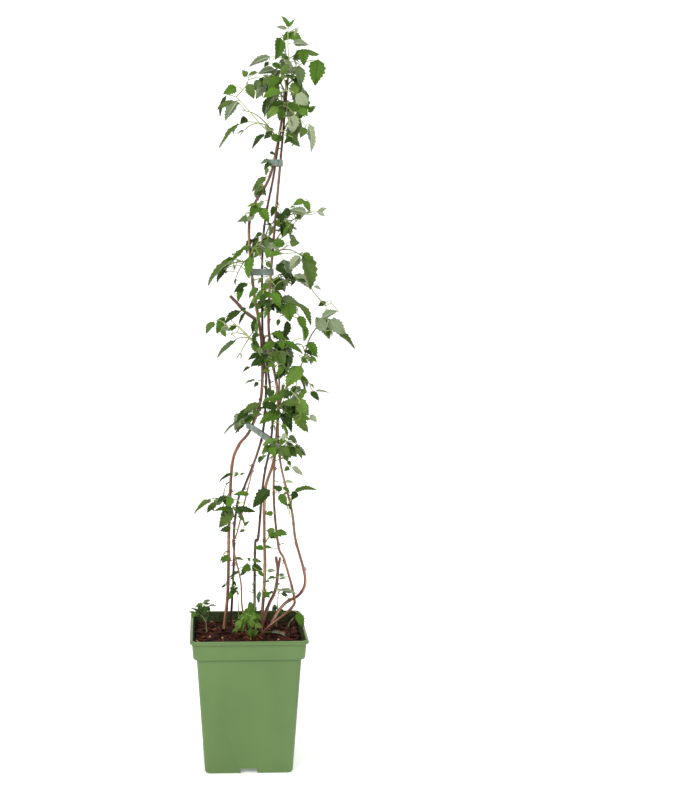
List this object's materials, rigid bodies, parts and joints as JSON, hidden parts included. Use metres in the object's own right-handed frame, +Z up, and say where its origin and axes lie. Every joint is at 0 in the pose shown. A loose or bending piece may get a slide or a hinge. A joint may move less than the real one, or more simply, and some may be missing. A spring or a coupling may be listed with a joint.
{
  "type": "potted raspberry plant",
  "caption": "Young raspberry plant in a tall square nursery pot: thin woody canes tied in a narrow clump, with leafy side shoots up their whole height and small suckers at the foot.",
  "frame": {"origin": "middle of the pot's flat underside", "axes": "+Z up along the canes, -Y towards the front of the plant, +X to its right"},
  "size_m": [0.2485, 0.18, 1.1417],
  "materials": {
    "pot_plastic": "moulded green plastic, satin",
    "potting_soil": "dark red-brown bark chips, matt",
    "cane_bark": "red-brown bark with pale streaks",
    "cut_wood": "old cane with cut ends",
    "tie_plastic": "grey-green plastic tape",
    "foliage": "leaves, mid green above and pale grey-green below"
  },
  "bodies": {
    "root": {"pot": "pot_plastic", "soil": "potting_soil", "left_cane_lower": "cane_bark", "left_cane_middle": "cane_bark", "left_cane_upper": "cane_bark", "back_cane_lower": "cane_bark", "back_cane_upper": "cane_bark", "main_cane": "cane_bark", "short_cane": "cane_bark", "front_cane_lower": "cane_bark", "front_cane_upper": "cane_bark", "bowed_cane_lower": "cane_bark", "bowed_cane_middle": "cane_bark", "bowed_cane_upper": "cane_bark", "thin_cane": "cane_bark", "forked_stub": "cut_wood", "upper_stub": "cut_wood", "lower_tie": "tie_plastic", "middle_tie": "tie_plastic", "upper_tie": "tie_plastic", "foliage_leader": "foliage", "foliage_top_right": "foliage", "foliage_top_left": "foliage", "foliage_top_back": "foliage", "foliage_top_front": "foliage", "foliage_far_left": "foliage", "foliage_top_low_right": "foliage", "foliage_neck": "foliage", "foliage_upper_left": "foliage", "foliage_upper_right": "foliage", "foliage_upper_back": "foliage", "foliage_middle_left": "foliage", "foliage_middle_front": "foliage", "foliage_middle_right": "foliage", "foliage_right_pendant": "foliage", "foliage_left_spray": "foliage", "foliage_right_centre": "foliage", "foliage_arm_tip": "foliage", "foliage_arm_low": "foliage", "foliage_centre_front": "foliage", "foliage_centre_back": "foliage", "foliage_low_right": "foliage", "foliage_low_right_front": "foliage", "foliage_low_left": "foliage", "foliage_low_front": "foliage", "foliage_low_back": "foliage", "foliage_below_tie": "foliage", "foliage_lower_right": "foliage", "foliage_lower_left": "foliage", "foliage_lower_centre": "foliage", "foliage_left_sprig": "foliage", "foliage_lower_sprig": "foliage", "foliage_green_sucker": "foliage", "foliage_left_sucker": "foliage", "foliage_back_sucker": "foliage", "foliage_edge_sprig": "foliage", "foliage_front_sprig": "foliage", "foliage_corner_sprig": "foliage"}
  },
  "joints": []
}
